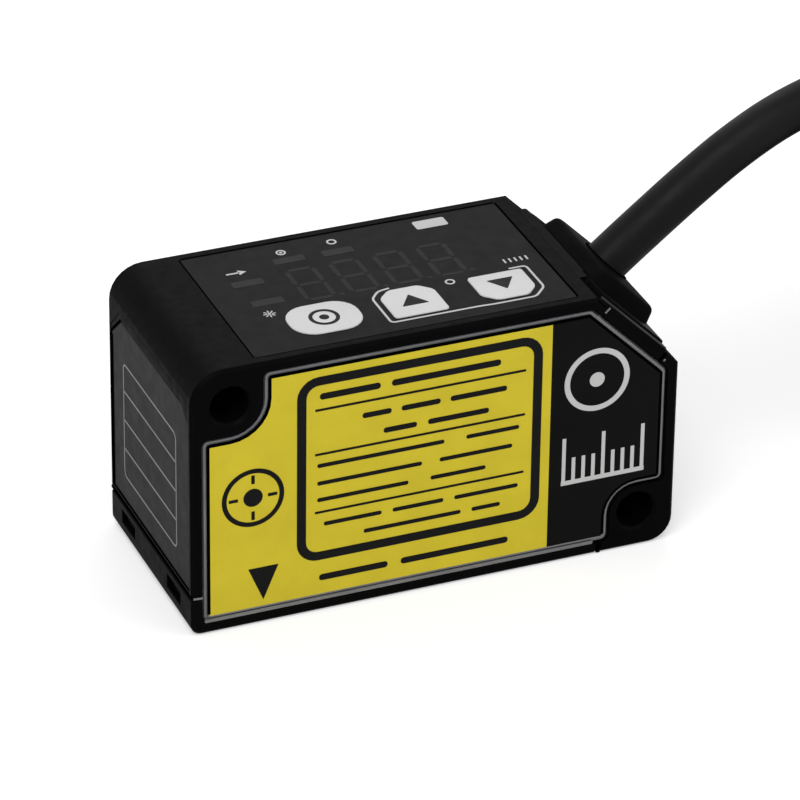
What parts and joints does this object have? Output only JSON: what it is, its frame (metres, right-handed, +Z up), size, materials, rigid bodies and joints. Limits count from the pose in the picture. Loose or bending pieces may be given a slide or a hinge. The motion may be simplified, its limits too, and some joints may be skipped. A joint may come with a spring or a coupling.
{
  "type": "laser displacement sensor",
  "caption": "Compact box-shaped laser displacement sensor with display film, keys, side plate, windowed front cover and a cable that leaves through a boot.",
  "frame": {"origin": "middle of the underside of the sensor's body", "axes": "+X along the length towards the cable corner, +Z up through the display film, -Y out of the side plate; the beam leaves along -Z"},
  "size_m": [0.1445, 0.038, 0.0365],
  "materials": {
    "housing": "satin black paint on a zinc casting",
    "side_plate": "satin grey",
    "side_label": "printed film, yellow and black",
    "end_label": "dark grey film",
    "display_film": "smoked film with light grey print",
    "black_moulding": "fine matt",
    "black_rubber": "matt",
    "cable_sheath": "satin vinyl",
    "tie": "woven strap",
    "window": "clear acrylic",
    "lens": "polished",
    "light_pipe": "clear",
    "brass": "turned brass",
    "diode_can": "plated can",
    "circuit_board": "green solder mask",
    "component_black": "moulded",
    "plunger": "light grey",
    "lamp_chip": "resin",
    "connector": "white",
    "steel": "plated",
    "lead_brown": "vinyl",
    "lead_blue": "vinyl",
    "lead_black": "vinyl",
    "lead_grey": "vinyl",
    "lead_pink": "vinyl"
  },
  "bodies": {
    "sensor": {"bench_screw_1": "steel", "bench_screw_2": "steel", "board_link": "component_black", "board_screw_1": "steel", "board_screw_2": "steel", "cable": "cable_sheath", "cable_boot": "black_rubber", "cable_clamp": "steel", "cable_hank": "cable_sheath", "cable_plug": "black_moulding", "cable_tail": "cable_sheath", "cable_tie": "tie", "collimator_lens": "lens", "cover_gasket": "black_rubber", "digit_display": "component_black", "display_board": "circuit_board", "display_film": "display_film", "emitter_window": "window", "end_label": "end_label", "front_cover": "black_moulding", "housing": "housing", "image_sensor": "component_black", "inner_lead_black": "lead_black", "inner_lead_blue": "lead_blue", "inner_lead_brown": "lead_brown", "inner_lead_grey": "lead_grey", "inner_lead_pink": "lead_pink", "key_switch_left": "component_black", "key_switch_middle": "component_black", "key_switch_right": "component_black", "lamp_1": "lamp_chip", "lamp_2": "lamp_chip", "lamp_3": "lamp_chip", "lamp_4": "lamp_chip", "laser_diode": "diode_can", "laser_holder": "brass", "lead_black": "lead_black", "lead_blue": "lead_blue", "lead_brown": "lead_brown", "lead_connector": "connector", "lead_grey": "lead_grey", "lead_pink": "lead_pink", "light_pipe_1": "light_pipe", "light_pipe_2": "light_pipe", "light_pipe_3": "light_pipe", "light_pipe_4": "light_pipe", "main_board": "circuit_board", "optical_bench": "black_moulding", "processor": "component_black", "receiver_lens": "lens", "receiver_ring": "black_moulding", "receiver_window": "window", "sensor_board": "circuit_board", "side_label": "side_label", "side_plate": "side_plate"},
    "key_left": {"key_plunger_left": "plunger"},
    "key_middle": {"key_plunger_middle": "plunger"},
    "key_right": {"key_plunger_right": "plunger"}
  },
  "joints": [
    {"name": "key_left_press", "type": "slide", "parent": "sensor", "child": "key_left", "axis": [0, 0, -1], "range_m": [0, 0.00025], "stiffness_N_per_m": 300},
    {"name": "key_middle_press", "type": "slide", "parent": "sensor", "child": "key_middle", "axis": [0, 0, -1], "range_m": [0, 0.00025], "stiffness_N_per_m": 300},
    {"name": "key_right_press", "type": "slide", "parent": "sensor", "child": "key_right", "axis": [0, 0, -1], "range_m": [0, 0.00025], "stiffness_N_per_m": 300}
  ]
}
